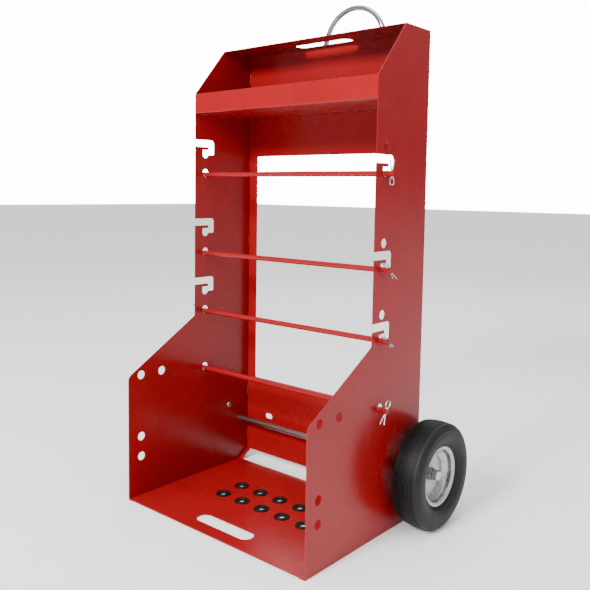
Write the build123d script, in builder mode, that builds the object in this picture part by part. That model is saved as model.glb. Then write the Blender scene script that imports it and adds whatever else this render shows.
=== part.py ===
from build123d import *
import os
from math import atan2, degrees, hypot, radians, sin, sqrt, tan

os.makedirs("parts", exist_ok=True)

# Wire-spool cart: a folded steel body on two wheels, with four rods that carry cable reels.
# X is the width, -Y is the open front, +Z is up. The floor is Z = 0 and the body is centred on X = 0.

# --- driving dimensions, millimetres ---
sheet = 2.0                  # steel sheet of the body
body_width = 580.0           # over the side panels
panel_height = 1165.0
base_depth = 432.0           # front edge of the base to the back face of the body
shelf_depth = 211.0          # front edge of the upper half
crown_depth = 105.5          # front edge of the top plate
low_front_height = 317.0     # top of the upright lower front edge
step_height = 448.0          # where the slanted edge meets the upper front edge
upper_front_height = 1040.0  # bottom of the slanted crown
floor_flange = 15.0          # inward flange under the base plate

handle_reach = 99.0          # handle bar centre behind the back face
handle_bar_radius = 7.0
handle_top = 1278.0          # bar centre at the crown of the loop
handle_arch_radius = 95.0
handle_lean = 17.4           # degrees that each leg splays outwards on its way down
handle_foot_height = 1035.0

wheel_radius = 126.0
tyre_gap = 20.5              # side panel to tyre
tyre_width = 74.0
axle_radius = 7.95
axle_setback = 36.0          # axle centre in front of the back face

rod_radius = 6.35
rod_hole_radius = 10.75
rod_overhang = 22.0          # rod end beyond the side panel
rod_setback = 174.0          # rod centres in front of the back face
rest_gap = 0.3               # between a rod and the hole or seat that it lies in
left_seat_heights = (884.0, 673.0, 513.0)
right_seat_heights = (833.0, 620.5, 461.0)
left_hole_heights = (833.0, 620.5, 461.0, 302.0)
right_hole_heights = (886.0, 675.5, 515.5, 302.0)
spare_hole_radius = 11.0
spare_holes = ((392.5, 317.0), (326.0, 317.0), (392.5, 157.0), (392.5, 105.0))

hand_slot_length = 175.0
hand_slot_width = 40.0
base_slot_setback = 376.0
top_slot_setback = 34.0
grommet_pitch = 67.0
grommet_columns = 5
grommet_setbacks = (182.0, 250.0)

# --- derived places ---
half_width = body_width / 2
inner_half = half_width - sheet
back = (base_depth - handle_reach - handle_bar_radius) / 2   # Y of the body's back face
axle_y = back - axle_setback
axle_z = wheel_radius
rod_y = back - rod_setback
rod_drop = rod_hole_radius - rod_radius - rest_gap           # a rod lies this far below its hole's centre


def save(name, piece):
    """Label one finished piece and write its STEP file."""
    piece.label = name
    export_step(piece, f"parts/{name}.step")


# --- axle lug: a strap outside each side panel that carries the axle boss and one bolt ---
lug_thickness = 3.0
lug_end_radius = 18.0
lug_boss_radius = 14.0
lug_boss_length = 9.0
lug_bolt_radius = 4.0
lug_bolt_y = back - 79.0
lug_bolt_z = 173.0
hole_play = 0.2
lug_span = hypot(axle_y - lug_bolt_y, axle_z - lug_bolt_z)
lug_angle = degrees(atan2(axle_z - lug_bolt_z, axle_y - lug_bolt_y))

with BuildPart() as axle_lug:
    with BuildSketch(Plane.YZ.offset(half_width)):
        with Locations(((axle_y + lug_bolt_y) / 2, (axle_z + lug_bolt_z) / 2)):
            SlotCenterToCenter(lug_span, 2 * lug_end_radius, rotation=lug_angle)
    extrude(amount=lug_thickness)
    with BuildSketch(Plane.YZ.offset(half_width + lug_thickness)):
        with Locations((axle_y, axle_z)):
            Circle(lug_boss_radius)
    extrude(amount=lug_boss_length)
    with BuildSketch(Plane.YZ.offset(half_width)):
        with Locations((axle_y, axle_z)):
            Circle(axle_radius + hole_play)
        with Locations((lug_bolt_y, lug_bolt_z)):
            Circle(lug_bolt_radius + hole_play)
    extrude(amount=lug_thickness + lug_boss_length, mode=Mode.SUBTRACT)
save("right_axle_lug", axle_lug.part)
save("left_axle_lug", mirror(axle_lug.part, about=Plane.YZ))

# --- side panels ---
corner_rise = 24.5           # the lower rear corner is cut off at a slant
base_rear_setback = 36.3     # rear edge of the base plate
slant = (corner_rise - sheet) / base_rear_setback
corner_run = corner_rise / slant

# A J-slot is open at the front: an entry above a nose, a drop behind the nose, a round seat below it.
slot_entry_top = 37.3        # heights above the seat's centre
slot_nose_top = 18.6
slot_nose_bottom = 11.1
slot_ledge = -2.3
slot_nose_tip = rod_y + 11.2
slot_rear = rod_y + 31.3
seat_rear = rod_y + sqrt(rod_hole_radius**2 - slot_ledge**2)


def draw_j_slot(seat_z):
    """The outline of one J-slot in the side panel's own YZ plane."""
    with BuildSketch() as slot:
        with BuildLine():
            outline = Polyline(
                (rod_y - rod_hole_radius, seat_z),
                (rod_y - rod_hole_radius, seat_z + slot_nose_bottom),
                (slot_nose_tip, seat_z + slot_nose_bottom),
                (slot_nose_tip, seat_z + slot_nose_top),
                (back - shelf_depth - 1, seat_z + slot_nose_top),
                (back - shelf_depth - 1, seat_z + slot_entry_top),
                (slot_rear, seat_z + slot_entry_top),
                (slot_rear, seat_z + slot_ledge),
                (seat_rear, seat_z + slot_ledge),
            )
            ThreePointArc(outline @ 1, (rod_y, seat_z - rod_hole_radius), outline @ 0)
        make_face()
        for corner, radius in (
            ((rod_y - rod_hole_radius, seat_z + slot_nose_bottom), 3),
            ((slot_nose_tip, seat_z + slot_nose_bottom), 3),
            ((slot_nose_tip, seat_z + slot_nose_top), 3),
            ((slot_rear, seat_z + slot_entry_top), 9),
            ((slot_rear, seat_z + slot_ledge), 3),
        ):
            fillet(slot.vertices().sort_by_distance(corner)[0], radius)
    return slot.sketch


def build_side_panel(outer_x, inward, seat_heights, hole_heights):
    """One side panel with its J-slots, holes, rounded corners and inward floor flange."""
    with BuildPart() as panel:
        with BuildSketch(Plane.YZ.offset(outer_x)) as outline:
            with BuildLine():
                Polyline(
                    (back - corner_run, 0),
                    (back - base_depth, 0),
                    (back - base_depth, low_front_height),
                    (back - shelf_depth, step_height),
                    (back - shelf_depth, upper_front_height),
                    (back - crown_depth, panel_height),
                    (back, panel_height),
                    (back, corner_rise),
                    close=True,
                )
            make_face()
            for corner, radius in (
                ((back - base_depth, low_front_height), 18),
                ((back - shelf_depth, step_height), 10),
                ((back - shelf_depth, upper_front_height), 8),
                ((back - crown_depth, panel_height), 6),
            ):
                fillet(outline.vertices().sort_by_distance(corner)[0], radius)
            for seat_z in seat_heights:
                add(draw_j_slot(seat_z), mode=Mode.SUBTRACT)
            with Locations(*[(rod_y, z) for z in hole_heights]):
                Circle(rod_hole_radius, mode=Mode.SUBTRACT)
            with Locations(*[(back - setback, z) for setback, z in spare_holes]):
                Circle(spare_hole_radius, mode=Mode.SUBTRACT)
            with Locations((axle_y, axle_z)):
                Circle(axle_radius + hole_play, mode=Mode.SUBTRACT)
            with Locations((lug_bolt_y, lug_bolt_z)):
                Circle(lug_bolt_radius + hole_play, mode=Mode.SUBTRACT)
        extrude(amount=inward * sheet)
        with BuildSketch(Plane.XY):
            flange_x = outer_x + inward * (sheet + floor_flange / 2)
            with Locations((flange_x, back - (base_depth + corner_run) / 2)):
                Rectangle(floor_flange, base_depth - corner_run)
        extrude(amount=sheet)
    return panel.part


save("left_side_panel", build_side_panel(-half_width, 1, left_seat_heights, left_hole_heights))
save("right_side_panel", build_side_panel(half_width, -1, right_seat_heights, right_hole_heights))

# --- handle: one bent bar with a bolted flange at each foot, loop standing off behind the back ---
flange_length = 64.0
flange_height = 34.0
flange_thickness = 3.0
foot_bolt_spacing = 44.0
foot_bolt_radius = 3.0
handle_bend_radius = 38.0
arch_corner_rise = handle_arch_radius * (1 / sin(radians(handle_lean)) - 1)
foot_x = (handle_top + arch_corner_rise - handle_foot_height) * tan(radians(handle_lean))
foot_bolt_spots = [
    (side * foot_x + offset, handle_foot_height)
    for side in (-1, 1)
    for offset in (-foot_bolt_spacing / 2, foot_bolt_spacing / 2)
]

with BuildPart() as handle:
    with BuildLine() as bar_path:
        FilletPolyline(
            (-foot_x, back + flange_thickness / 2, handle_foot_height),
            (-foot_x, back + handle_reach, handle_foot_height),
            (0, back + handle_reach, handle_top + arch_corner_rise),
            (foot_x, back + handle_reach, handle_foot_height),
            (foot_x, back + flange_thickness / 2, handle_foot_height),
            radius=[handle_bend_radius, handle_arch_radius, handle_bend_radius],
        )
    with BuildSketch(Plane(origin=bar_path.line @ 0, z_dir=bar_path.line % 0)):
        Circle(handle_bar_radius)
    sweep()
    with BuildSketch(Plane.XZ.offset(-back)):
        with Locations((-foot_x, handle_foot_height), (foot_x, handle_foot_height)):
            RectangleRounded(flange_length, flange_height, 6)
    extrude(amount=-flange_thickness)
    with BuildSketch(Plane.XZ.offset(-back)):
        with Locations(*foot_bolt_spots):
            Circle(foot_bolt_radius + hole_play)
    extrude(amount=-flange_thickness, mode=Mode.SUBTRACT)
save("handle", handle.part)

# --- back panel: one sheet with a window, two oval holes and a slanted foot beside the cable gap ---
window_half_width = 258.5
window_bottom = 245.0
window_top = 884.0
gap_strip = 12.5             # slanted strip left at each end of the cable gap
oval_x = 202.5
oval_z = 139.0
oval_length = 25.0
oval_width = 15.0
slanted_thickness = sheet * hypot(1, slant)

with BuildPart() as back_panel:
    with BuildSketch(Plane.YZ.offset(-inner_half)):
        with BuildLine():
            Polyline(
                (back, panel_height - sheet),
                (back, corner_rise),
                (back - base_rear_setback, sheet),
                (back - base_rear_setback, sheet + slanted_thickness),
                (back - sheet, corner_rise + slanted_thickness - sheet * slant),
                (back - sheet, panel_height - sheet),
                close=True,
            )
        make_face()
    extrude(amount=2 * inner_half)
    with BuildSketch(Plane.XZ.offset(-back)):
        with Locations((0, (window_bottom + window_top) / 2)):
            RectangleRounded(2 * window_half_width, window_top - window_bottom, 5)
        with Locations((-oval_x, oval_z), (oval_x, oval_z)):
            SlotOverall(oval_length, oval_width)
        with Locations((0, corner_rise / 2)):
            Rectangle(2 * (inner_half - gap_strip), corner_rise)
        with Locations(*foot_bolt_spots):
            Circle(foot_bolt_radius + hole_play)
    extrude(amount=base_rear_setback + sheet, mode=Mode.SUBTRACT)
save("back_panel", back_panel.part)

# --- base plate: lies on the floor flanges, with a hand slot and the grommet holes ---
grommet_waist_radius = 14.0
grommet_spots = [
    ((column - (grommet_columns - 1) / 2) * grommet_pitch, back - setback)
    for setback in grommet_setbacks
    for column in range(grommet_columns)
]

with BuildPart() as base_plate:
    with BuildSketch(Plane.XY.offset(sheet)):
        with Locations((0, back - (base_depth + base_rear_setback) / 2)):
            Rectangle(2 * inner_half, base_depth - base_rear_setback)
        with Locations((0, back - base_slot_setback)):
            SlotOverall(hand_slot_length, hand_slot_width, mode=Mode.SUBTRACT)
        with Locations(*grommet_spots):
            Circle(grommet_waist_radius, mode=Mode.SUBTRACT)
    extrude(amount=sheet)
save("base_plate", base_plate.part)

# --- rubber grommets in the base plate ---
grommet_bore_radius = 9.5
grommet_lip_radius = 18.5
grommet_top_lip = 4.0
grommet_floor_gap = 0.3
base_top = 2 * sheet

for number, spot in enumerate(grommet_spots, start=1):
    with BuildPart() as grommet:
        with BuildSketch(Plane(origin=(*spot, 0), x_dir=(1, 0, 0), z_dir=(0, -1, 0))) as ring:
            with BuildLine():
                Polyline(
                    (grommet_bore_radius, grommet_floor_gap),
                    (grommet_lip_radius - 1.5, grommet_floor_gap),
                    (grommet_lip_radius - 1.5, sheet),
                    (grommet_waist_radius - 0.1, sheet),
                    (grommet_waist_radius - 0.1, base_top),
                    (grommet_lip_radius, base_top),
                    (grommet_lip_radius, base_top + grommet_top_lip),
                    (grommet_bore_radius, base_top + grommet_top_lip),
                    close=True,
                )
            make_face()
            fillet(ring.vertices().group_by(Axis.Y)[-1], 1.9)
        revolve(axis=Axis((*spot, 0), (0, 0, 1)))
    save(f"grommet_{number}", grommet.part)

# --- top plate with its hand slot, and the tool tray below it ---
tray_height = 51.5
tray_bottom = upper_front_height - tray_height

with BuildPart() as top_plate:
    with BuildSketch(Plane.XY.offset(panel_height - sheet)):
        with Locations((0, back - crown_depth / 2)):
            Rectangle(2 * inner_half, crown_depth)
        with Locations((0, back - top_slot_setback)):
            SlotOverall(hand_slot_length, hand_slot_width, mode=Mode.SUBTRACT)
    extrude(amount=sheet)
save("top_plate", top_plate.part)

with BuildPart() as tool_tray:
    with BuildSketch(Plane.YZ.offset(-inner_half)):
        with BuildLine():
            Polyline(
                (back - sheet, tray_bottom),
                (back - shelf_depth, tray_bottom),
                (back - shelf_depth, upper_front_height),
                (back - shelf_depth + sheet, upper_front_height),
                (back - shelf_depth + sheet, tray_bottom + sheet),
                (back - sheet, tray_bottom + sheet),
                close=True,
            )
        make_face()
    extrude(amount=2 * inner_half)
    front_corner = tool_tray.edges().filter_by(Axis.X).group_by(Axis.Z)[0].sort_by(Axis.Y)[0]
    fillet(front_corner, 1.8)
save("tool_tray", tool_tray.part)

# --- fasteners: button heads inside and nuts outside, at the handle's feet and the axle lugs ---
handle_nut_height = 5.0
handle_nut_across_flats = 10.0
handle_head_radius = 5.5
handle_head_height = 3.0
lug_nut_height = 6.5
lug_nut_across_flats = 13.0
lug_head_radius = 7.5
lug_head_height = 3.6
thread_tip = 1.5
handle_grip = flange_thickness + handle_nut_height + thread_tip
lug_grip = lug_thickness + lug_nut_height + thread_tip

with BuildPart() as handle_bolts:
    with BuildSketch(Plane.XZ.offset(-back + sheet)):
        with Locations(*foot_bolt_spots):
            Circle(handle_head_radius)
    extrude(amount=handle_head_height)
    fillet(handle_bolts.faces().group_by(Axis.Y)[0].edges(), 1.6)
    with BuildSketch(Plane.XZ.offset(-back + sheet)):
        with Locations(*foot_bolt_spots):
            Circle(foot_bolt_radius)
    extrude(amount=-(sheet + handle_grip))
save("handle_bolts", handle_bolts.part)

with BuildPart() as handle_nuts:
    with BuildSketch(Plane.XZ.offset(-back - flange_thickness)):
        with Locations(*foot_bolt_spots):
            RegularPolygon(handle_nut_across_flats / 2, 6, major_radius=False)
            Circle(foot_bolt_radius + 0.05, mode=Mode.SUBTRACT)
    extrude(amount=-handle_nut_height)
save("handle_nuts", handle_nuts.part)

with BuildPart() as lug_bolt:
    with BuildSketch(Plane.YZ.offset(inner_half)):
        with Locations((lug_bolt_y, lug_bolt_z)):
            Circle(lug_head_radius)
    extrude(amount=-lug_head_height)
    fillet(lug_bolt.faces().sort_by(Axis.X)[0].edges(), 2.6)
    with BuildSketch(Plane.YZ.offset(inner_half)):
        with Locations((lug_bolt_y, lug_bolt_z)):
            Circle(lug_bolt_radius)
    extrude(amount=sheet + lug_grip)
save("lug_bolts", Compound(children=[lug_bolt.part, mirror(lug_bolt.part, about=Plane.YZ)]))

with BuildPart() as lug_nut:
    with BuildSketch(Plane.YZ.offset(half_width + lug_thickness)):
        with Locations((lug_bolt_y, lug_bolt_z)):
            RegularPolygon(lug_nut_across_flats / 2, 6, major_radius=False)
            Circle(lug_bolt_radius + 0.05, mode=Mode.SUBTRACT)
    extrude(amount=lug_nut_height)
save("lug_nuts", Compound(children=[lug_nut.part, mirror(lug_nut.part, about=Plane.YZ)]))

# --- axle and what keeps each wheel on it; distances are outwards from the side panel ---
boss_end = lug_thickness + lug_boss_length
side_play = 0.3
washer_thickness = 1.5
bush_flange = 1.5
hub_end = 65.0
inner_washer_start = boss_end + side_play
bush_start = inner_washer_start + washer_thickness + side_play
hub_start = bush_start + bush_flange
outer_washer_start = hub_end + bush_flange + side_play
cap_start = outer_washer_start + washer_thickness + side_play
cap_length = 11.0
cap_radius = 12.5
axle_end = cap_start + cap_length - 2.5
wheel_plane = Plane(origin=(half_width, axle_y, axle_z), x_dir=(1, 0, 0), z_dir=(0, -1, 0))
wheel_axis = Axis((half_width, axle_y, axle_z), (1, 0, 0))

with BuildPart() as axle:
    with BuildSketch(Plane.YZ.offset(-half_width - axle_end)):
        with Locations((axle_y, axle_z)):
            Circle(axle_radius)
    extrude(amount=body_width + 2 * axle_end)
    chamfer(axle.faces().filter_by(Axis.X).edges(), 1)
save("axle", axle.part)

for name, start in (("inner_washer", inner_washer_start), ("outer_washer", outer_washer_start)):
    with BuildPart() as washer:
        with BuildSketch(Plane.YZ.offset(half_width + start)):
            with Locations((axle_y, axle_z)):
                Circle(lug_boss_radius)
                Circle(axle_radius + hole_play, mode=Mode.SUBTRACT)
        extrude(amount=washer_thickness)
    save(f"right_{name}", washer.part)
    save(f"left_{name}", mirror(washer.part, about=Plane.YZ))

with BuildPart() as axle_cap:
    with BuildSketch(wheel_plane) as cap_outline:
        with BuildLine():
            Polyline(
                (cap_start, axle_radius + 0.02),
                (cap_start, cap_radius),
                (cap_start + cap_length, cap_radius),
                (cap_start + cap_length, 0),
                (axle_end, 0),
                (axle_end, axle_radius + 0.02),
                close=True,
            )
        make_face()
        fillet(cap_outline.vertices().sort_by_distance((cap_start + cap_length, cap_radius))[0], 4)
    revolve(axis=wheel_axis)
save("right_axle_cap", axle_cap.part)
save("left_axle_cap", mirror(axle_cap.part, about=Plane.YZ))

# --- wheel: tyre, two pressed rim halves, hub tube and two flanged bushes ---
wheel_mid = tyre_gap + tyre_width / 2
tyre_half = tyre_width / 2
rim_sheet = 1.5
rim_well_radius = 61.0
rim_lip_radius = 71.0
rim_reach = 26.0             # wheel middle to the rim's lip
hub_radius = 14.5
hub_bore_radius = 11.0
bush_bore_radius = axle_radius + 0.06
bush_length = 18.0

# The tyre's section on one side of the wheel's middle: distance from the middle, radius.
bead_foot = (19.6, rim_well_radius + rim_sheet)
bead_toe = (21.2, 64.2)
bead_top = (23.3, 70.6)
wall_foot = (25.5, 73.0)
wall_bulge = (tyre_half, 99.0)
wall_top = (tyre_half - 4, 117.0)
shoulder = (tyre_half - 6.8, 121.4)
tread_edge = (tyre_half - 12, 123.6)


def on_left(spot):
    return (wheel_mid - spot[0], spot[1])


def on_right(spot):
    return (wheel_mid + spot[0], spot[1])


with BuildPart() as tyre:
    with BuildSketch(wheel_plane):
        with BuildLine():
            Polyline(on_left(bead_foot), on_left(bead_toe), on_left(bead_top), on_left(wall_foot))
            ThreePointArc(on_left(wall_foot), on_left(wall_bulge), on_left(wall_top))
            ThreePointArc(on_left(wall_top), on_left(shoulder), on_left(tread_edge))
            ThreePointArc(on_left(tread_edge), (wheel_mid, wheel_radius), on_right(tread_edge))
            ThreePointArc(on_right(tread_edge), on_right(shoulder), on_right(wall_top))
            ThreePointArc(on_right(wall_top), on_right(wall_bulge), on_right(wall_foot))
            Polyline(on_right(wall_foot), on_right(bead_top), on_right(bead_toe), on_right(bead_foot))
            Line(on_right(bead_foot), on_left(bead_foot))
        make_face()
    revolve(axis=wheel_axis)
save("right_tyre", tyre.part)
save("left_tyre", mirror(tyre.part, about=Plane.YZ))

for name, outward in (("outer_rim", 1), ("inner_rim", -1)):
    with BuildPart() as rim:
        with BuildSketch(wheel_plane):
            with BuildLine():
                FilletPolyline(
                    (wheel_mid + outward * rim_sheet / 2, hub_radius + 0.1),
                    (wheel_mid + outward * rim_sheet / 2, 47),
                    (wheel_mid + outward * 10, rim_well_radius + rim_sheet / 2),
                    (wheel_mid + outward * (rim_reach - 4.5), rim_well_radius + rim_sheet / 2),
                    (wheel_mid + outward * (rim_reach - 1.6), rim_lip_radius - 0.4),
                    radius=[7, 5, 2.4],
                )
            trace(line_width=rim_sheet)
        revolve(axis=wheel_axis)
    save(f"right_{name}", rim.part)
    save(f"left_{name}", mirror(rim.part, about=Plane.YZ))

with BuildPart() as hub:
    with BuildSketch(Plane.YZ.offset(half_width + hub_start)):
        with Locations((axle_y, axle_z)):
            Circle(hub_radius)
            Circle(hub_bore_radius, mode=Mode.SUBTRACT)
    extrude(amount=hub_end - hub_start)
save("right_hub", hub.part)
save("left_hub", mirror(hub.part, about=Plane.YZ))

for name, flange_start, direction in (("inner_bush", bush_start, 1), ("outer_bush", hub_end + bush_flange, -1)):
    with BuildPart() as bush:
        with BuildSketch(Plane.YZ.offset(half_width + flange_start)):
            with Locations((axle_y, axle_z)):
                Circle(lug_boss_radius)
        extrude(amount=direction * bush_flange)
        with BuildSketch(Plane.YZ.offset(half_width + flange_start)):
            with Locations((axle_y, axle_z)):
                Circle(hub_bore_radius - 0.02)
        extrude(amount=direction * bush_length)
        with BuildSketch(Plane.YZ.offset(half_width + flange_start)):
            with Locations((axle_y, axle_z)):
                Circle(bush_bore_radius)
        extrude(amount=direction * bush_length, mode=Mode.SUBTRACT)
    save(f"right_{name}", bush.part)
    save(f"left_{name}", mirror(bush.part, about=Plane.YZ))

# --- reel rods with a split pin through each end ---
pin_wire_radius = 1.4
pin_leg_spread = 1.55        # leg centres from the pin's own axis, inside the rod
pin_from_panel = 16.0
rod_end = half_width + rod_overhang
pin_x = half_width + pin_from_panel
# The turn of each rod's pins about the rod: 0 has the eye straight up, 90 has it towards the front.
rod_turns = (180.0, 48.0, -128.0, -28.0)

with BuildPart() as split_pin:
    with BuildLine(Plane.XZ) as wire_path:
        FilletPolyline(
            (-5.5, -30),
            (-pin_leg_spread, -8.5),
            (-pin_leg_spread, 7.5),
            (-5, 13.5),
            (-5, 25),
            (5, 25),
            (5, 13.5),
            (pin_leg_spread, 7.5),
            (pin_leg_spread, -8.5),
            (5.5, -30),
            radius=[5, 3, 3, 4.8, 4.8, 3, 3, 5],
        )
    with BuildSketch(Plane(origin=wire_path.line @ 0, z_dir=wire_path.line % 0)):
        Circle(pin_wire_radius)
    sweep()

with BuildPart() as rod:
    with BuildSketch(Plane.YZ.offset(-rod_end)):
        Circle(rod_radius)
    extrude(amount=2 * rod_end)
    chamfer(rod.faces().filter_by(Axis.X).edges(), 1)
    with Locations((-pin_x, 0, 0), (pin_x, 0, 0)):
        Hole(pin_leg_spread + pin_wire_radius + 0.15)

for number, (hole_z, turn) in enumerate(zip(left_hole_heights, rod_turns), start=1):
    place = Location((0, rod_y, hole_z - rod_drop), (turn, 0, 0))
    save(f"spool_rod_{number}", place * rod.part)
    pins = [place * Pos(x, 0, 0) * split_pin.part for x in (-pin_x, pin_x)]
    save(f"spool_rod_{number}_pins", Compound(children=pins))
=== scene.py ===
import math

import bpy
from mathutils import Matrix, Vector


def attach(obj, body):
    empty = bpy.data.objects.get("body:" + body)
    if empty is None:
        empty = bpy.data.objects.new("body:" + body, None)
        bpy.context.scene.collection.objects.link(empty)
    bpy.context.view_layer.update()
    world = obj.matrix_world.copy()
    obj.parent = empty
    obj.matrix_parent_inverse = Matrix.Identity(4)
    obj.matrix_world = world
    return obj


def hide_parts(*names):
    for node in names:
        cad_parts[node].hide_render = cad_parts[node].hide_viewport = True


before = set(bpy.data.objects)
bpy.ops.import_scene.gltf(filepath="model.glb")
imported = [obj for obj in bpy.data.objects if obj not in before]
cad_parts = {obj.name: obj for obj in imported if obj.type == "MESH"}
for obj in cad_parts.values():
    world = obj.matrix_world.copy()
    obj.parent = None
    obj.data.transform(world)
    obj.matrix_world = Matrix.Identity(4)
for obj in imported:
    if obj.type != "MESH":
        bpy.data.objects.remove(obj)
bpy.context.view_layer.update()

# The camera stands off the cart's front right corner, a little above the middle of its height, and
# looks slightly down on it.
camera_place = (1.185, -1.374, 0.788)
camera_heading = math.radians(40.79)
camera_tilt = math.radians(84.98)
camera_roll = math.radians(0.81)
bpy.ops.object.select_all(action="DESELECT")
bpy.ops.object.camera_add()
camera = bpy.context.object
camera.name = "studio_camera"
camera.data.sensor_width = 36
camera.data.lens = 44.71
camera.data.shift_x = 0.0125
camera.data.shift_y = -0.0673
camera.data.clip_end = 80
camera.matrix_world = (
    Matrix.Translation(camera_place)
    @ Matrix.Rotation(camera_heading, 4, "Z")
    @ Matrix.Rotation(camera_tilt, 4, "X")
    @ Matrix.Rotation(camera_roll, 4, "Z")
)
bpy.context.scene.camera = camera


# The studio: a wide pale floor and a surround that the camera sees as white and the bright metal as
# grey. One strong soft light stands high at the front, with weaker ones at the right, above and
# behind, and a wide ceiling light over all of it.
class Signal:
    """One shader socket. It works in sums as a number does, and makes the nodes that follow it."""

    def __init__(self, socket):
        self.socket = socket

    def node(self, kind, settings=None, inputs=None, output=0):
        made = self.socket.id_data.nodes.new(kind)
        for name, value in (settings or {}).items():
            if name == "stops":
                for index, (position, colour) in enumerate(value):
                    ramp = made.color_ramp.elements
                    stop = ramp[index] if index < 2 else ramp.new(position)
                    stop.position = position
                    stop.color = colour
            else:
                setattr(made, name, value)
        for name, value in (inputs or {}).items():
            if isinstance(value, Signal):
                self.socket.id_data.links.new(value.socket, made.inputs[name])
            else:
                made.inputs[name].default_value = value
        return Signal(made.outputs[output])

    def maths(self, operation, first, second):
        return self.node("ShaderNodeMath", {"operation": operation}, {0: first, 1: second})

    def __add__(self, other):
        return self.maths("ADD", self, other)

    def __sub__(self, other):
        return self.maths("SUBTRACT", self, other)

    def __rsub__(self, other):
        return self.maths("SUBTRACT", other, self)

    def __mul__(self, other):
        return self.maths("MULTIPLY", self, other)

    __radd__ = __add__
    __rmul__ = __mul__

    def noise(self, scale, detail=3.0):
        values = {"Vector": self, "Scale": scale, "Detail": detail}
        return self.node("ShaderNodeTexNoise", None, values)

    def step(self, low, high):
        """0 below low, 1 above high and smooth between."""
        return self.node(
            "ShaderNodeMapRange",
            {"interpolation_type": "SMOOTHSTEP"},
            {"Value": self, "From Min": low, "From Max": high},
        )

    def mix(self, low, high):
        """The first colour where this signal is 0, the second where it is 1."""
        values = {0: self, 6: low, 7: high}
        return self.node("ShaderNodeMix", {"data_type": "RGBA"}, values, output=2)

    def stretch(self, scale):
        return self.node("ShaderNodeMapping", None, {"Vector": self, "Scale": scale})

    def bump(self, distance):
        values = {"Height": self, "Distance": distance, "Strength": 1.0}
        return self.node("ShaderNodeBump", None, values)


def new_finish(name, values):
    """A material with the plain values of its shader set. Returns it, its shader and its
    object coordinates."""
    finish = bpy.data.materials.new(name)
    finish.use_nodes = True
    shader = finish.node_tree.nodes["Principled BSDF"]
    for socket_name, value in values.items():
        shader.inputs[socket_name].default_value = value
    place = Signal(finish.node_tree.nodes.new("ShaderNodeTexCoord").outputs["Object"])
    return finish, shader, place


def feed(shader, signals):
    for socket_name, signal in signals.items():
        shader.id_data.links.new(signal.socket, shader.inputs[socket_name])


bpy.ops.object.select_all(action="DESELECT")
bpy.ops.mesh.primitive_plane_add(size=60)
floor = bpy.context.object
floor.name = "studio_floor"
floor_finish, floor_shader, floor_place = new_finish("studio_paper", {"Specular IOR Level": 0.2})
floor_grain = floor_place.noise(18, 6).step(0.3, 0.7)
feed(
    floor_shader,
    {
        "Base Color": floor_grain.mix((0.90, 0.90, 0.90, 1), (0.92, 0.92, 0.92, 1)),
        "Roughness": floor_grain * 0.1 + 0.75,
        "Normal": floor_place.noise(600, 4).bump(0.0001),
    },
)
floor.data.materials.append(floor_finish)

surround = bpy.data.worlds.new("studio_surround")
surround.use_nodes = True
bpy.context.scene.world = surround
sky = surround.node_tree.nodes["Background"]
direction = Signal(surround.node_tree.nodes.new("ShaderNodeTexCoord").outputs["Generated"])
height = direction.node("ShaderNodeSeparateXYZ", None, {0: direction}, output=2)
backdrop = height.node(
    "ShaderNodeValToRGB",
    {
        "stops": (
            (0.0, (0.3, 0.3, 0.3, 1)),
            (1.0, (0.8, 0.8, 0.8, 1)),
            (0.47, (0.42, 0.42, 0.42, 1)),
            (0.51, (0.22, 0.22, 0.22, 1)),
            (0.62, (0.62, 0.62, 0.62, 1)),
        )
    },
    {0: height * 0.5 + 0.5},
)
seen = Signal(surround.node_tree.nodes.new("ShaderNodeLightPath").outputs["Is Camera Ray"])
surround.node_tree.links.new(
    seen.mix(backdrop, (14.0, 14.0, 14.0, 1)).socket, sky.inputs["Color"]
)
sky.inputs["Strength"].default_value = 1.0

for name, spot, aim, size, power in (
    ("front_light", (0.1, -4.0, 2.9), (0, 0, 0.7), 1.0, 360),
    ("side_light", (4.6, -1.2, 1.9), (0, 0, 0.7), 2.0, 46),
    ("top_light", (0.0, -1.2, 4.4), (0, 0, 0), 2.4, 30),
    ("rear_light", (-1.8, 3.6, 2.6), (0, 0, 0.6), 2.4, 30),
):
    bpy.ops.object.light_add(type="AREA", location=spot)
    light = bpy.context.object
    light.name = name
    light.data.size = size
    light.data.energy = power
    light.rotation_euler = (Vector(aim) - Vector(spot)).to_track_quat("-Z", "Y").to_euler()
bpy.ops.object.light_add(type="SUN", location=(0, 0, 6))
ceiling = bpy.context.object
ceiling.name = "ceiling_light"
ceiling.data.energy = 2.0
ceiling.data.angle = math.radians(80)


# Side panels: 2 mm sheet steel, laser cut, with a flange folded inwards along the floor, then
# powder coated red. Three J-slots, open at the front edge, take one end of a reel rod each, and
# round holes take the other ends.
MM = 0.001


def pick(*pieces):
    """Leave just these pieces selected, the first one active."""
    bpy.ops.object.select_all(action="DESELECT")
    for piece in pieces:
        piece.select_set(True)
    bpy.context.view_layer.objects.active = pieces[0]


def close_up(piece, angle=30):
    """Merge doubled corners, point the faces outwards and smooth the shading up to real edges."""
    pick(piece)
    bpy.ops.object.mode_set(mode="EDIT")
    bpy.ops.mesh.select_all(action="SELECT")
    bpy.ops.mesh.remove_doubles(threshold=0.01 * MM)
    bpy.ops.mesh.normals_make_consistent(inside=False)
    bpy.ops.object.mode_set(mode="OBJECT")
    bpy.ops.object.shade_smooth_by_angle(angle=math.radians(angle))


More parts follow.
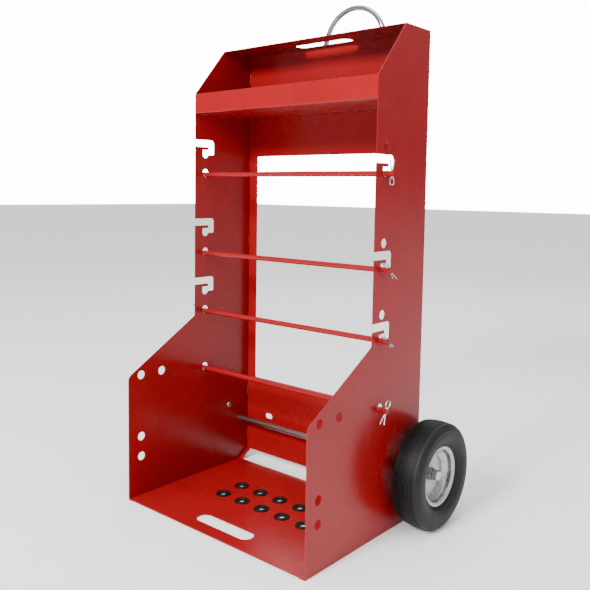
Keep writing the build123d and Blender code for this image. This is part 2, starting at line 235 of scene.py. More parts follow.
def rounded(corners):
    """The outline through these corners (across, up, radius), each one rounded by short chords."""
    outline = []
    for index, (across, up, radius) in enumerate(corners):
        here = Vector((across, up))
        steps = 0
        arc_start = Vector((0, 0))
        turn = 0
        if radius:
            to_last = (Vector(corners[index - 1][:2]) - here).normalized()
            to_next = (Vector(corners[(index + 1) % len(corners)][:2]) - here).normalized()
            half_angle = to_last.angle(to_next) / 2
            here += (to_last + to_next).normalized() * radius / math.sin(half_angle)
            arc_start = Vector(corners[index][:2]) + to_last * radius / math.tan(half_angle) - here
            arc_end = Vector(corners[index][:2]) + to_next * radius / math.tan(half_angle) - here
            turn = math.atan2(arc_start.cross(arc_end), arc_start.dot(arc_end))
            steps = max(2, round(abs(math.degrees(turn)) / 8))
        for step in range(steps + 1):
            spot = here + Matrix.Rotation(turn * step / max(steps, 1), 2) @ arc_start
            if not outline or (spot - outline[-1]).length > 0.01:
                outline.append(spot)
    if (outline[0] - outline[-1]).length < 0.01:
        outline.pop()
    return outline


def opening(across, up, width, height, radius):
    """A rounded rectangle; a circle or a long hole when the radius is half the width or height."""
    left, right = across - width / 2, across + width / 2
    low, high = up - height / 2, up + height / 2
    return rounded(
        [(left, low, radius), (right, low, radius), (right, high, radius), (left, high, radius)]
    )


def cut_sheet(name, loops, thickness, stand, middle, edge=0.3):
    """Draw the loops flat, fill between them, give the sheet its thickness and a slightly broken
    edge, and stand it up with its middle plane through the given place."""
    drawing = bpy.data.curves.new(name, "CURVE")
    drawing.dimensions = "2D"
    drawing.fill_mode = "BOTH"
    drawing.extrude = thickness / 2 - edge
    drawing.bevel_depth = edge
    drawing.bevel_resolution = 1
    drawing.offset = -edge
    for loop in loops:
        line = drawing.splines.new("POLY")
        line.points.add(len(loop) - 1)
        for point, (across, up) in zip(line.points, loop):
            point.co = (across, up, 0, 1)
        line.use_cyclic_u = True
    sheet = bpy.data.objects.new(name, drawing)
    bpy.context.scene.collection.objects.link(sheet)
    pick(sheet)
    bpy.ops.object.convert(target="MESH")
    sheet = bpy.context.object
    sheet.data.transform(Matrix.Scale(MM, 4) @ Matrix.Translation(middle) @ stand)
    close_up(sheet, 15)
    return sheet


def join(name, *pieces):
    pick(*pieces)
    if len(pieces) > 1:
        bpy.ops.object.join()
    bpy.context.object.name = name
    return bpy.context.object


def coat(piece, face_finish, edge_finish=None, facing=None):
    """Give a piece its finish, and another to its cut edges, which face away from the sheet's
    normal."""
    piece.data.materials.clear()
    piece.data.materials.append(face_finish)
    for face in piece.data.polygons:
        face.material_index = 0
    if edge_finish:
        piece.data.materials.append(edge_finish)
        for face in piece.data.polygons:
            if abs(face.normal.dot(Vector(facing))) < 0.9:
                face.material_index = 1


def red_coat(name, rubbing, metal_grain):
    """Gloss red powder coat: an even orange-peel skin with faint clouding, rubbed through to
    bright steel where the rubbing signal, built from the object coordinates, reaches 1."""
    finish, shader, place = new_finish(name, {"IOR": 1.5, "Specular IOR Level": 0.26})
    clouds = place.noise(5, 4)
    peel = place.noise(520, 2)
    smudge = place.noise(14, 5).step(0.35, 0.75)
    worn = rubbing(place)
    red = clouds.step(0.25, 0.75).mix((0.225, 0.0046, 0.0064, 1), (0.265, 0.0058, 0.0078, 1))
    steel = place.noise(metal_grain, 3).mix((0.42, 0.40, 0.38, 1), (0.62, 0.60, 0.58, 1))
    feed(
        shader,
        {
            "Base Color": worn.mix(red, steel),
            "Roughness": smudge * 0.08 + place.noise(900, 1) * 0.05 + 0.19 + worn * 0.08,
            "Metallic": worn * 0.9,
            "Normal": (peel - worn * 0.8).bump(0.00005),
        },
    )
    return finish


sheet_red = red_coat("red_coat", lambda place: place.noise(70, 8).step(0.86, 0.9), 400)
edge_red = red_coat("red_coat_edge", lambda place: place.noise(55, 6).step(0.72, 0.78), 500)

SIDEWAYS = Matrix(((0, 0, 1, 0), (1, 0, 0, 0), (0, 1, 0, 0), (0, 0, 0, 1)))
sheet_thickness = 2
panel_middle = 289
body_front = -269
shelf_front = -48.0
body_back = 163
body_top = 1165
crown_front = 57.5
foot_top = 24.5
flange_width = 15
rod_line = -11.0
seat_radius = 10.75
spare_hole = 22
# J-slot: four heights from the middle of its seat, then where its nose and its rear edge stand.
ledge = -2.3
nose_bottom = 11.1
nose_top = 18.6
entry_top = 37.3
nose_tip = rod_line + 11.2
slot_rear = rod_line + 31.3
ledge_angle = math.degrees(math.asin(ledge / seat_radius))
slots = {-1: (513, 673, 884), 1: (461, 620.5, 833)}
rod_holes = {-1: (302, 461, 620.5, 833), 1: (302, 515.5, 675.5, 886)}

for side, name in ((-1, "left"), (1, "right")):
    corners = [
        (123.5, 0, 0),
        (body_front, 0, 0),
        (body_front, 317, 18),
        (shelf_front, 448, 10),
    ]
    for seat in slots[side]:
        corners += [
            (shelf_front, seat + nose_top, 1),
            (nose_tip, seat + nose_top, 3),
            (nose_tip, seat + nose_bottom, 3),
            (rod_line - seat_radius, seat + nose_bottom, 3),
        ]
        for step in range(25):
            angle = math.radians(-180 + (180 + ledge_angle) * step / 24)
            along = rod_line + seat_radius * math.cos(angle)
            corners.append((along, seat + seat_radius * math.sin(angle), 0))
        corners += [
            (slot_rear, seat + ledge, 3),
            (slot_rear, seat + entry_top, 9),
            (shelf_front, seat + entry_top, 1),
        ]
    corners += [
        (shelf_front, 1040, 8),
        (crown_front, body_top, 6),
        (body_back, body_top, 0),
        (body_back, foot_top, 0),
    ]
    loops = [rounded(corners)]
    for up in rod_holes[side]:
        loops.append(opening(rod_line, up, 2 * seat_radius, 2 * seat_radius, seat_radius))
    for along, up in ((-229.5, 317), (-163, 317), (-229.5, 157), (-229.5, 105)):
        loops.append(opening(along, up, spare_hole, spare_hole, spare_hole / 2))
    plate = cut_sheet(
        name + "_plate", loops, sheet_thickness, SIDEWAYS, (side * panel_middle, 0, 0)
    )
    flange_loop = opening(side * 280.5, -72.7, flange_width, 392.5, 0.6)
    flange = cut_sheet(
        name + "_flange", [flange_loop], sheet_thickness, Matrix(), (0, 0, sheet_thickness / 2)
    )
    coat(plate, sheet_red, edge_red, (1, 0, 0))
    coat(flange, sheet_red, edge_red, (0, 0, 1))
    panel = join(name + "_panel_sheet", plate, flange)
    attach(panel, "cart_body")
    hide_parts(name + "_side_panel")

# Back panel: one steel sheet, laser cut and coated red, with a tall window so that the reels can be
# reached from behind, and two oval holes low down. At each end of the gap that the cables leave
# through, a slanted strip is folded forward.
BACKWARDS = Matrix(((1, 0, 0, 0), (0, 0, -1, 0), (0, 1, 0, 0), (0, 0, 0, 1)))
half_inside = 288
strip_inside = 275.5
back_bottom = 25.5
back_inside = 161
handle_height = 1035
foot_bolt_hole = 6.4
foot_bolts = [side * 145.9 + offset for side in (-1, 1) for offset in (-22, 22)]
back_loops = [
    rounded(
        [
            (-half_inside, back_bottom, 0),
            (-strip_inside, back_bottom, 0),
            (strip_inside, back_bottom, 0),
            (half_inside, back_bottom, 0),
            (half_inside, body_top - sheet_thickness, 0),
            (-half_inside, body_top - sheet_thickness, 0),
        ]
    ),
    opening(0, 564.5, 517, 639, 5),
    opening(-202.5, 139, 25, 15, 7.5),
    opening(202.5, 139, 25, 15, 7.5),
]
back_loops += [
    opening(across, handle_height, foot_bolt_hole, foot_bolt_hole, foot_bolt_hole / 2)
    for across in foot_bolts
]
back_middle = body_back - sheet_thickness / 2
back_sheet = cut_sheet(
    "back_sheet", back_loops, sheet_thickness, BACKWARDS, (0, back_middle, 0)
)
coat(back_sheet, sheet_red, edge_red, (0, 1, 0))
strips = []
for side in (-1, 1):
    profile = rounded(
        [
            (body_back, 26, 0),
            (body_back, foot_top, 0),
            (126.7, 2, 0),
            (126.7, 4.35, 0),
            (back_inside, 25.6, 0),
            (back_inside, 26, 0),
        ]
    )
    strip = cut_sheet("foot_strip", [profile], 12.5, SIDEWAYS, (side * 281.75, 0, 0))
    coat(strip, sheet_red, edge_red, (0, 0.53, -0.85))
    strips.append(strip)
back_piece = join("back_sheet", back_sheet, *strips)
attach(back_piece, "cart_body")
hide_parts("back_panel")

# Base plate: red coated sheet steel on the panels' floor flanges, with a long hand slot near the
# front edge and ten punched holes in two rows for the cable grommets.
plate_width = 576
hand_slot_length = 175
hand_slot_width = 40
grommet_hole = 28
grommet_places = [(column * 67.0, row) for row in (-19.0, -87.0) for column in range(-2, 3)]
base_loops = [
    opening(0, -71.15, plate_width, 395.7, 0.5),
    opening(0, -213, hand_slot_length, hand_slot_width, hand_slot_width / 2),
]
base_loops += [
    opening(across, along, grommet_hole, grommet_hole, grommet_hole / 2)
    for across, along in grommet_places
]
base_sheet = cut_sheet(
    "base_sheet", base_loops, sheet_thickness, Matrix(), (0, 0, 1.5 * sheet_thickness)
)
coat(base_sheet, sheet_red, edge_red, (0, 0, 1))
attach(base_sheet, "cart_body")
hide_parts("base_plate")

# Top plate: red coated sheet steel, welded between the panels to close the crown of the cart, with
# a hand slot for lifting it.
top_loops = [
    opening(0, 110.25, plate_width, body_back - crown_front, 0.5),
    opening(0, 129, hand_slot_length, hand_slot_width, hand_slot_width / 2),
]
top_sheet = cut_sheet(
    "top_sheet", top_loops, sheet_thickness, Matrix(), (0, 0, body_top - sheet_thickness / 2)
)
coat(top_sheet, sheet_red, edge_red, (0, 0, 1))
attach(top_sheet, "cart_body")
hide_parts("top_plate")

# Tool tray: a shelf across the cart below its crown, with its front edge folded up as a lip, made
# in a press brake from one sheet and welded between the panels and to the back.
tray_bottom = 988.5
tray_floor = tray_bottom + sheet_thickness
tray_front = shelf_front
lip_inside = tray_front + sheet_thickness
lip_top = 1040
tray_profile = rounded(
    [
        (back_inside, tray_bottom, 0),
        (tray_front, tray_bottom, 2.6),
        (tray_front, lip_top, 0.4),
        (lip_inside, lip_top, 0.4),
        (lip_inside, tray_floor, 0.8),
        (back_inside, tray_floor, 0),
    ]
)
tray_sheet = cut_sheet(
    "tray_sheet", [tray_profile], plate_width, SIDEWAYS, (0, 0, 0), edge=0.2
)
coat(tray_sheet, sheet_red)
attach(tray_sheet, "cart_body")
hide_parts("tool_tray")

# Stitch welds: short beads of weld metal in the inside corners, coated over with the body's red.
# Each is a row of overlapping ripples that fades out at both ends.
ripple = 1.8
bpy.ops.mesh.primitive_circle_add(
    vertices=10, radius=1.2 * MM, rotation=(0, math.radians(90), 0)
)
bead = bpy.context.object
bpy.ops.object.transform_apply(location=True, rotation=True, scale=True)
bpy.ops.object.mode_set(mode="EDIT")
bpy.ops.mesh.select_all(action="SELECT")
for swell in (1.5, 0.92, 1.14, 0.9, 1.13, 0.88, 1.14, 0.9, 1.12, 0.89, 1.13, 0.9, 1.1, 0.9, 0.62):
    bpy.ops.mesh.extrude_region_move(TRANSFORM_OT_translate={"value": (ripple * MM, 0, 0)})
    bpy.ops.transform.resize(value=(1, swell, swell))
bpy.ops.mesh.select_all(action="SELECT")
bpy.ops.mesh.select_non_manifold()
bpy.ops.mesh.edge_face_add()
bpy.ops.object.mode_set(mode="OBJECT")
bead.data.transform(Matrix.Translation((-13.5 * MM, 0, 0)))
close_up(bead, 60)


def copy_of(piece, name, move):
    """A copy with its own mesh, moved by a matrix."""
    copy = bpy.data.objects.new(name, piece.data.copy())
    bpy.context.scene.collection.objects.link(copy)
    copy.data.transform(move)
    if move.determinant() < 0:
        copy.data.flip_normals()
    return copy


upright = Matrix.Rotation(math.radians(90), 4, "Y")
lengthways = Matrix.Rotation(math.radians(90), 4, "Z")
panel_corner = 287.4
back_corner = 160.4
tray_corner = 987.9
crown_corner = 1162.4
bead_places = []
for side in (-1, 1):
    for up in (70, 200, 420, 640, 860, 940, 1100):
        bead_places.append(((side * panel_corner, back_corner, up), upright))
for corner, alongs in ((tray_corner, (-20, 60, 130)), (crown_corner, (80, 140))):
    for side in (-1, 1):
        for along in alongs:
            bead_places.append(((side * panel_corner, along, corner), lengthways))
for across in (-240, -120, 0, 120, 240):
    bead_places.append(((across, back_corner, tray_corner), Matrix()))
for across in (-200, -70, 70, 200):
    bead_places.append(((across, back_corner, crown_corner), Matrix()))
beads = []
for place, turn in bead_places:
    beads.append(copy_of(bead, "bead", Matrix.Translation(Vector(place) * MM) @ turn))
bpy.data.objects.remove(bead)
welds = join("stitch_welds", *beads)
weld_red = red_coat("red_coat_weld", lambda place: place.noise(90, 4).step(0.9, 0.95), 400)
coat(welds, weld_red)
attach(welds, "cart_body")


# Cable grommets: black rubber rings with a rounded lip above the base plate, a waist in its hole
# and a smaller lip below. They are pressed in, and line the holes for cables from the reels.
def turned(name, section, closed, centre, along, outward, steps):
    """Spin a section, given as (distance along the axis, radius), a full turn about its axis."""
    drawing = bpy.data.curves.new(name, "CURVE")
    drawing.dimensions = "3D"
    line = drawing.splines.new("POLY")
    line.points.add(len(section) - 1)
    for point, (distance, radius) in zip(line.points, section):
        spot = (Vector(centre) + Vector(along) * distance + Vector(outward) * radius) * MM
        point.co = (*spot, 1)
    line.use_cyclic_u = closed
    piece = bpy.data.objects.new(name, drawing)
    bpy.context.scene.collection.objects.link(piece)
    pick(piece)
    bpy.ops.object.convert(target="MESH")
    piece = bpy.context.object
    bpy.ops.object.mode_set(mode="EDIT")
    bpy.ops.mesh.select_all(action="SELECT")
    bpy.ops.mesh.spin(
        steps=steps, angle=math.radians(360), center=Vector(centre) * MM, axis=along
    )
    bpy.ops.object.mode_set(mode="OBJECT")
    close_up(piece)
    return piece


grommet_finish, grommet_shader, grommet_place = new_finish(
    "grommet_rubber", {"IOR": 1.45, "Specular IOR Level": 0.25}
)
grommet_dust = grommet_place.noise(160, 5).step(0.45, 0.8)
feed(
    grommet_shader,
    {
        "Base Color": grommet_dust.mix((0.003, 0.003, 0.003, 1), (0.008, 0.008, 0.0075, 1)),
        "Roughness": grommet_dust * 0.2 + 0.42,
        "Normal": grommet_place.noise(1500, 3).bump(0.00004),
    },
)
grommet_bore = 9.6
lower_lip = 16.9
upper_lip = 18.4
waist = 13.85
grommet_section = rounded(
    [
        (0.4, grommet_bore, 0.6),
        (0.4, lower_lip, 0.7),
        (2, lower_lip, 0.2),
        (2, waist, 0),
        (4, waist, 0),
        (4.02, upper_lip, 0.3),
        (7.9, upper_lip, 1.9),
        (7.9, grommet_bore, 1.9),
    ]
)
grommet = turned("grommet", grommet_section, True, (0, 0, 0), (0, 0, 1), (1, 0, 0), 56)
coat(grommet, grommet_finish)
for number, (across, along) in enumerate(grommet_places, start=1):
    ring = copy_of(
        grommet, "rubber_grommet_" + str(number), Matrix.Translation((across * MM, along * MM, 0))
    )
    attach(ring, "cart_body")
    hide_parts("grommet_" + str(number))
bpy.data.objects.remove(grommet)


# Handle: 14 mm steel bar bent to a tall loop, with a flat flange welded to each foot, the whole
# piece chrome plated. Two bolts through the back panel hold each flange.
def bent_bar(name, corners, radii, bar_radius, sides, steps_per_turn):
    """Run a ring of edges along straight lengths and round each bend, then close both ends."""
    places = [Vector(corner) * MM for corner in corners]
    heading = (places[1] - places[0]).normalized()
    bpy.ops.object.select_all(action="DESELECT")
    bpy.ops.mesh.primitive_circle_add(vertices=sides, radius=bar_radius * MM)
    bar = bpy.context.object
    bar.name = name
    turn_over = heading.to_track_quat("Z", "Y").to_matrix().to_4x4()
    bar.data.transform(Matrix.Translation(places[0]) @ turn_over)
    bpy.ops.object.mode_set(mode="EDIT")
    bpy.ops.mesh.select_all(action="SELECT")
    here = places[0]
    for index, radius in enumerate(radii, start=1):
        leaving = (places[index + 1] - places[index]).normalized()
        turn = heading.angle(leaving)
        reach = radius * MM * math.tan(turn / 2)
        bend_start = places[index] - heading * reach
        bpy.ops.mesh.extrude_region_move(TRANSFORM_OT_translate={"value": bend_start - here})
        inward = (leaving - heading * heading.dot(leaving)).normalized()
        bpy.ops.mesh.spin(
            steps=max(3, round(math.degrees(turn) / 360 * steps_per_turn)),
            angle=-turn,
            center=bend_start + inward * radius * MM,
            axis=heading.cross(leaving).normalized(),
        )
        here = places[index] + leaving * reach
        heading = leaving
    bpy.ops.mesh.extrude_region_move(TRANSFORM_OT_translate={"value": places[-1] - here})
    bpy.ops.mesh.select_all(action="DESELECT")
    bpy.ops.mesh.select_non_manifold()
    bpy.ops.mesh.edge_face_add()
    bpy.ops.object.mode_set(mode="OBJECT")
    close_up(bar, 40)
    return bar


chrome, chrome_shader, chrome_place = new_finish("chrome_plate", {"Metallic": 1.0})
chrome_haze = chrome_place.noise(22, 6).step(0.4, 0.75)
chrome_lines = chrome_place.noise(1400, 2)
feed(
    chrome_shader,
    {
        "Base Color": chrome_haze.mix((0.40, 0.41, 0.43, 1), (0.33, 0.34, 0.36, 1)),
        "Roughness": chrome_haze * 0.09 + chrome_lines * 0.04 + 0.05,
        "Normal": chrome_place.noise(240, 3).bump(0.00001),
    },
)
lean = math.radians(17.4)
bar_radius = 7
arch_radius = 95
flange_thickness = 3
flange_middle = body_back + flange_thickness / 2
loop_plane = 262
arch_peak = 1278 + arch_radius * (1 / math.sin(lean) - 1)
foot = (arch_peak - handle_height) * math.tan(lean)
bar = bent_bar(
    "handle_bar",
    [
        (-foot, flange_middle, handle_height),
        (-foot, loop_plane, handle_height),
        (0, loop_plane, arch_peak),
        (foot, loop_plane, handle_height),
        (foot, flange_middle, handle_height),
    ],
    [38, arch_radius, 38],
    bar_radius,
    40,
    120,
)
handle_parts = [bar]
for side in (-1, 1):
    flange_loops = [opening(side * foot, handle_height, 64, 34, 6)]
    for offset in (-22, 22):
        across = side * foot + offset
        flange_loops.append(
            opening(across, handle_height, foot_bolt_hole, foot_bolt_hole, foot_bolt_hole / 2)
        )
    handle_parts.append(
        cut_sheet(
            "flange", flange_loops, flange_thickness, BACKWARDS, (0, flange_middle, 0), edge=0.6
        )
    )
    fillet = [(0, 9.6), (0.5, 9.5), (1.3, 8.6), (2.2, 7.7), (3.2, 7.1), (3.4, 6.6), (0, 6.6)]
    centre = (side * foot, body_back + flange_thickness, handle_height)
    handle_parts.append(turned("fillet", fillet, True, centre, (0, 1, 0), (1, 0, 0), 40))
handle_piece = join("handle_loop", *handle_parts)
coat(handle_piece, chrome)
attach(handle_piece, "cart_body")
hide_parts("handle")

# Fasteners: zinc-plated steel button-head bolts with a hexagon socket, their heads inside the body,
# and nuts with chamfered corners on the far side. Four hold the handle, and one each axle lug.
zinc, zinc_shader, zinc_place = new_finish("zinc_plate", {"Metallic": 1.0})
zinc_clouds = zinc_place.noise(90, 5)
feed(
    zinc_shader,
    {
        "Base Color": zinc_clouds.step(0.3, 0.7).mix(
            (0.34, 0.345, 0.35, 1), (0.52, 0.53, 0.545, 1)
        ),
        "Roughness": zinc_clouds * 0.2 + zinc_place.noise(900, 2) * 0.1 + 0.16,
        "Normal": zinc_place.noise(1100, 2).bump(0.00002),
    },
)


def cut_with(piece, tool, operation):
    """Apply a boolean of the tool to the piece and drop the tool."""
    pick(piece)
    cutter = piece.modifiers.new("cut", "BOOLEAN")
    cutter.object = tool
    cutter.operation = operation
    cutter.solver = "EXACT"
    bpy.ops.object.modifier_apply(modifier="cut")
    bpy.data.objects.remove(tool)


def hexagon(name, across_flats, start, end):
    """A six-sided prism about the Z axis."""
    bpy.ops.object.select_all(action="DESELECT")
    bpy.ops.mesh.primitive_cylinder_add(
        vertices=6,
        radius=across_flats / math.sqrt(3) * MM,
        depth=(end - start) * MM,
        location=(0, 0, (start + end) / 2 * MM),
    )
    bpy.ops.object.transform_apply(location=True, rotation=True, scale=True)
    bpy.context.object.name = name
    return bpy.context.object


def button_bolt(head_radius, head_height, shank_radius, grip):
    """A bolt about the Z axis: the head's underside is at 0, its head below, its shank above."""
    section = [(-head_height, 0)]
    for step in range(9):
        angle = math.radians(90 - 80 * step / 8)
        section.append(
            (-head_height * math.sin(angle) ** 0.8, head_radius * (0.42 + 0.58 * math.cos(angle)))
        )
    section += [(-0.15, head_radius), (0, head_radius - 0.15), (0, shank_radius)]
    pitch = 0.9
    distance = grip - 4 * pitch
    section.append((distance, shank_radius))
    for thread in range(4):
        section.append((distance + pitch * (thread + 0.5), shank_radius - 0.45))
        section.append((distance + pitch * (thread + 0.95), shank_radius))
    section += [(grip, shank_radius - 0.7), (grip, 0)]
    bolt = turned("bolt", section, False, (0, 0, 0), (0, 0, 1), (1, 0, 0), 40)
    socket = hexagon("socket", head_radius * 0.8, -head_height - 1, -head_height * 0.35)
    cut_with(bolt, socket, "DIFFERENCE")
    close_up(bolt)
    return bolt


def hex_nut(across_flats, height):
    """A nut about the Z axis, its corners turned off at both ends."""
    past_corner = across_flats / math.sqrt(3) * 1.001
    end_radius = across_flats / 2 * 0.97
    nut = hexagon("nut", across_flats, 0, height)
    barrel_section = [
        (0, 0),
        (0, end_radius),
        (height * 0.16, past_corner),
        (height * 0.84, past_corner),
        (height, end_radius),
        (height, 0),
    ]
    barrel = turned("barrel", barrel_section, False, (0, 0, 0), (0, 0, 1), (1, 0, 0), 48)
    cut_with(nut, barrel, "INTERSECT")
    close_up(nut, 25)
    return nut


def fit(fastener, place, turn):
    """A copy of a bolt or nut, turned to its axis and put in its place, given in millimetres."""
    return copy_of(fastener, fastener.name, Matrix.Translation(Vector(place) * MM) @ turn)


out_of_back = Matrix.Rotation(math.radians(-90), 4, "X")
outside_flange = body_back + flange_thickness
bolt = button_bolt(5.5, 3.0, 2.98, 11.4)
nut = hex_nut(10, 5)
foot_screws = []
foot_nuts = []
for across in foot_bolts:
    foot_screws.append(fit(bolt, (across, back_inside, handle_height), out_of_back))
    foot_nuts.append(fit(nut, (across, outside_flange, handle_height), out_of_back))
lug_along = 84
lug_up = 173
outside_lug = 293
lug_bolt = button_bolt(7.5, 3.6, 3.98, 12.9)
lug_nut = hex_nut(13, 6.5)
lug_screws = []
lug_nuts = []
for side in (-1, 1):
    outwards = Matrix.Rotation(math.radians(90 * side), 4, "Y")
    lug_screws.append(fit(lug_bolt, (side * half_inside, lug_along, lug_up), outwards))
    lug_nuts.append(fit(lug_nut, (side * outside_lug, lug_along, lug_up), outwards))
for pattern in (bolt, nut, lug_bolt, lug_nut):
    bpy.data.objects.remove(pattern)
for name, parts, node in (
    ("handle_foot_bolts", foot_screws, "handle_bolts"),
    ("handle_foot_nuts", foot_nuts, "handle_nuts"),
    ("axle_lug_bolts", lug_screws, "lug_bolts"),
    ("axle_lug_nuts", lug_nuts, "lug_nuts"),
):
    fasteners = join(name, *parts)
    coat(fasteners, zinc)
    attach(fasteners, "cart_body")
    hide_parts(node)

# Axle: a length of drawn steel bar, left bare, through both panels and the bosses of the two lugs.
# The lugs take the red coat, the washers and caps zinc, the hubs bare steel and the bushes plastic.
steel, steel_shader, steel_place = new_finish("bare_steel", {"Metallic": 1.0})
drawn = steel_place.stretch((3, 260, 260)).noise(4, 4)
tarnish = steel_place.noise(26, 6).step(0.45, 0.8)
feed(
    steel_shader,
    {
        "Base Color": tarnish.mix((0.40, 0.37, 0.34, 1), (0.24, 0.19, 0.16, 1)),
        "Roughness": tarnish * 0.16 + drawn * 0.12 + 0.24,
        "Normal": drawn.bump(0.00003),
    },
)
def bar_section(half_length, radius, chamfer):
    """Half the outline of a round bar with chamfered ends, from one end of its axis to the
    other."""
    return [
        (-half_length, 0),
        (-half_length, radius - chamfer),
        (-half_length + chamfer, radius),
        (half_length - chamfer, radius),
        (half_length, radius - chamfer),
        (half_length, 0),
    ]


axle_place = (0, 127, 126)
axle_section = bar_section(367.1, 7.95, 1)
axle_bar = turned("axle_bar", axle_section, False, axle_place, (1, 0, 0), (0, 0, 1), 56)
coat(axle_bar, steel)
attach(axle_bar, "cart_body")
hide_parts("axle")

bush_finish, bush_shader, bush_place = new_finish("bush_plastic", {"IOR": 1.5})
bush_grain = bush_place.noise(300, 4)
feed(
    bush_shader,
    {
        "Base Color": bush_grain.mix((0.014, 0.014, 0.015, 1), (0.028, 0.028, 0.03, 1)),
        "Roughness": bush_grain * 0.2 + 0.4,
        "Normal": bush_grain.bump(0.00003),
    },
)
for side in ("left", "right"):
    for node, finish in (
        ("axle_lug", edge_red),
        ("inner_washer", zinc),
        ("outer_washer", zinc),
        ("axle_cap", zinc),
        ("hub", steel),
        ("inner_bush", bush_finish),
        ("outer_bush", bush_finish),
    ):
        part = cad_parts[side + "_" + node]
        for slot in part.material_slots:
            slot.material = finish


# Tyres: solid black rubber, moulded in one piece and stretched over the rims. The tread is a row of
# fine ribs all the way round, the shoulders are rounded, and each side wall has two raised rings.
def arc_through(first, middle, last, steps):
    """Points on the arc through three places, the first left out."""
    a, b, c = (Vector(spot) for spot in (first, middle, last))
    twice_area = 2 * (b - a).cross(c - a)
    ab, ac = (b - a).length_squared, (c - a).length_squared
    centre = a + Vector(
        (
            ((c - a).y * ab - (b - a).y * ac) / twice_area,
            ((b - a).x * ac - (c - a).x * ab) / twice_area,
        )
    )
    start = a - centre
    sense = math.atan2(start.cross(b - centre), start.dot(b - centre))
    end_turn = math.atan2(start.cross(c - centre), start.dot(c - centre))
    if end_turn * sense < 0:
        end_turn += math.copysign(2 * math.pi, sense)
    turns = [end_turn * step / steps for step in range(1, steps + 1)]
    return [centre + Matrix.Rotation(turn, 2) @ start for turn in turns]


rubber, rubber_shader, rubber_place = new_finish(
    "tyre_rubber", {"IOR": 1.45, "Specular IOR Level": 0.35}
)
rubber_grain = rubber_place.noise(700, 3)
rubber_dust = rubber_place.noise(30, 6).step(0.4, 0.85)
feed(
    rubber_shader,
    {
        "Base Color": rubber_dust.mix((0.003, 0.003, 0.003, 1), (0.009, 0.0088, 0.0085, 1)),
        "Roughness": rubber_dust * 0.16 + rubber_grain * 0.1 + 0.48,
        "Normal": rubber_grain.bump(0.00006),
    },
)
bead_foot = (25.5, 73)
wall_top = (33, 117)
tread_edge = (25, 123.6)
tread_radius = 126
crowning = 2.4
ring_half_width = 1.6
ring_height = 0.9
half_section = [Vector((19.6, 62.5)), Vector((21.2, 64.2)), Vector((23.3, 70.6))]
half_section.append(Vector(bead_foot))
for place in arc_through(bead_foot, (37, 99), wall_top, 30):
    ring = 0.0
    for ring_radius in (79, 109):
        ring += max(0.0, 1 - abs(place.y - ring_radius) / ring_half_width)
    half_section.append(place + Vector((ring_height * min(ring * 1.6, 1), 0)))
half_section += arc_through(wall_top, (30.2, 121.4), tread_edge, 7)
rib_pitch = 3.2
groove_depth = 1.9
tread = []
for groove in range(7, -8, -1):
    middle = groove * rib_pitch
    crown = tread_radius - crowning * (middle / tread_edge[0]) ** 2
    tread += [
        (middle + 0.75, crown - 0.05),
        (middle + 0.5, crown - groove_depth),
        (middle - 0.5, crown - groove_depth),
        (middle - 0.75, crown - 0.05),
    ]
tyre_section = half_section + [Vector(spot) for spot in tread]
tyre_section += [Vector((-spot.x, spot.y)) for spot in reversed(half_section)]
wheel_middle = 347.5
wheel_place = (wheel_middle, *axle_place[1:])
tyre = turned("tyre", tyre_section, True, wheel_place, (1, 0, 0), (0, 0, 1), 144)
mirror_x = Matrix.Scale(-1, 4, (1, 0, 0))
for side, move in (("right", Matrix()), ("left", mirror_x)):
    tyre_piece = copy_of(tyre, side + "_tyre_rubber", move)
    coat(tyre_piece, rubber)
    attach(tyre_piece, side + "_wheel")
    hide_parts(side + "_tyre")
bpy.data.objects.remove(tyre)

# Rim halves: pressed from 1.5 mm galvanised sheet, back to back at the middle of the wheel, each
# with a flat web round the hub, a drum that the tyre's bead sits on, and a turned-up lip.
galvanised, galvanised_shader, galvanised_place = new_finish("galvanised_sheet", {"Metallic": 1.0})
spangle = galvanised_place.node(
    "ShaderNodeTexVoronoi",
    {"feature": "F1"},
    {"Vector": galvanised_place, "Scale": 210.0},
    output=1,
)
flake = spangle.node("ShaderNodeSeparateXYZ", None, {0: spangle})
feed(
    galvanised_shader,
    {
        "Base Color": flake.mix((0.30, 0.31, 0.315, 1), (0.46, 0.47, 0.475, 1)),
        "Roughness": flake * 0.10 + galvanised_place.noise(60, 4) * 0.16 + 0.20,
        "Normal": galvanised_place.noise(500, 3).bump(0.00002),
    },
)
rim_thickness = 1.5
drum = 61.75
rim_line = rounded(
    [
        (rim_thickness / 2, 14.6, 0),
        (rim_thickness / 2, 22, 2),
        (1.6, 24, 2),
        (1.6, 43, 2),
        (rim_thickness / 2, 47, 7),
        (10, drum, 5),
        (21.5, drum, 2.4),
        (24.3, 70.3, 0),
    ]
)
rim_half = turned("rim_half", rim_line, False, axle_place, (1, 0, 0), (0, 0, 1), 128)
wall = rim_half.modifiers.new("wall", "SOLIDIFY")
wall.thickness = rim_thickness * MM
wall.offset = 0
pick(rim_half)
bpy.ops.object.modifier_apply(modifier="wall")
lip = rim_half.modifiers.new("lip", "BEVEL")
lip.width = 0.4 * MM
lip.segments = 2
lip.angle_limit = math.radians(50)
bpy.ops.object.modifier_apply(modifier="lip")
bpy.ops.object.shade_smooth_by_angle(angle=math.radians(40))
for side, sign in (("left", -1), ("right", 1)):
    for face, facing in (("outer", sign), ("inner", -sign)):
        move = Matrix.Translation((sign * wheel_middle * MM, 0, 0))
        if facing < 0:
            move = move @ mirror_x
        half = copy_of(rim_half, side + "_" + face + "_rim_half", move)
        coat(half, galvanised)
        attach(half, side + "_wheel")
        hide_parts(side + "_" + face + "_rim")
bpy.data.objects.remove(rim_half)

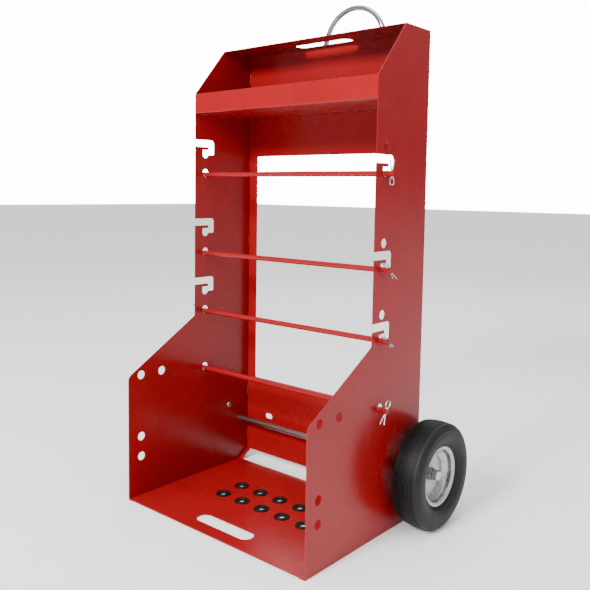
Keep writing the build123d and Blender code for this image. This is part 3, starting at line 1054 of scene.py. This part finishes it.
# Reel rods: half-inch steel bar with chamfered ends and a cross hole near each, coated red and
# rubbed through in places where the reels turn on them and where they lie in the panels.
pin_holes = (-306, 306)
rod = turned(
    "rod", bar_section(312, 6.35, 1), False, (0, 0, 0), (1, 0, 0), (0, 0, 1), 48
)
for across in pin_holes:
    bpy.ops.object.select_all(action="DESELECT")
    bpy.ops.mesh.primitive_cylinder_add(
        vertices=24, radius=3.1 * MM, depth=20 * MM, location=(across * MM, 0, 0)
    )
    cut_with(rod, bpy.context.object, "DIFFERENCE")
close_up(rod)


def rod_rubbing(place):
    """Scuffs that run round the bar, denser near the panels."""
    across = place.node("ShaderNodeSeparateXYZ", None, {0: place})
    near_panel = across.maths("ABSOLUTE", across, 0).step(0.283, 0.289)
    scuffs = place.stretch((6, 1, 1)).noise(60, 6)
    return (scuffs + near_panel * 0.12).step(0.72, 0.78)


rod_red = red_coat("red_coat_rod", rod_rubbing, 600)
coat(rod, rod_red)

# Split pins: zinc-plated steel wire folded into an eye and pushed through each rod end. The legs
# are spread a little so that they stay in, and every rod has been left at its own turn.
wire_radius = 1.4
pin_leg = [(5.5, 0, -30), (1.55, 0, -8.5), (1.55, 0, 7.5), (5, 0, 13.5), (5, 0, 25)]
pin_leg_bends = [5, 3, 3, 4.8]
pin = bent_bar(
    "pin",
    [(-across, along, up) for across, along, up in pin_leg] + pin_leg[::-1],
    pin_leg_bends + pin_leg_bends[::-1],
    wire_radius,
    12,
    60,
)
rod_rests = ((828.9, 180), (616.4, 48), (456.9, -128), (297.9, -28))
for number, (up, degrees) in enumerate(rod_rests, start=1):
    own_turn = Matrix.Rotation(math.radians(degrees), 4, "X")
    move = Matrix.Translation(Vector((0, rod_line, up)) * MM) @ own_turn
    rod_piece = copy_of(rod, "reel_rod_" + str(number), move)
    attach(rod_piece, "rod_" + str(number))
    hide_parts("spool_rod_" + str(number))
    pins = []
    for across in pin_holes:
        pins.append(copy_of(pin, "pin_copy", move @ Matrix.Translation((across * MM, 0, 0))))
    pair = join("split_pins_" + str(number), *pins)
    coat(pair, zinc)
    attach(pair, "rod_" + str(number))
    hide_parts("spool_rod_" + str(number) + "_pins")
bpy.data.objects.remove(rod)
bpy.data.objects.remove(pin)
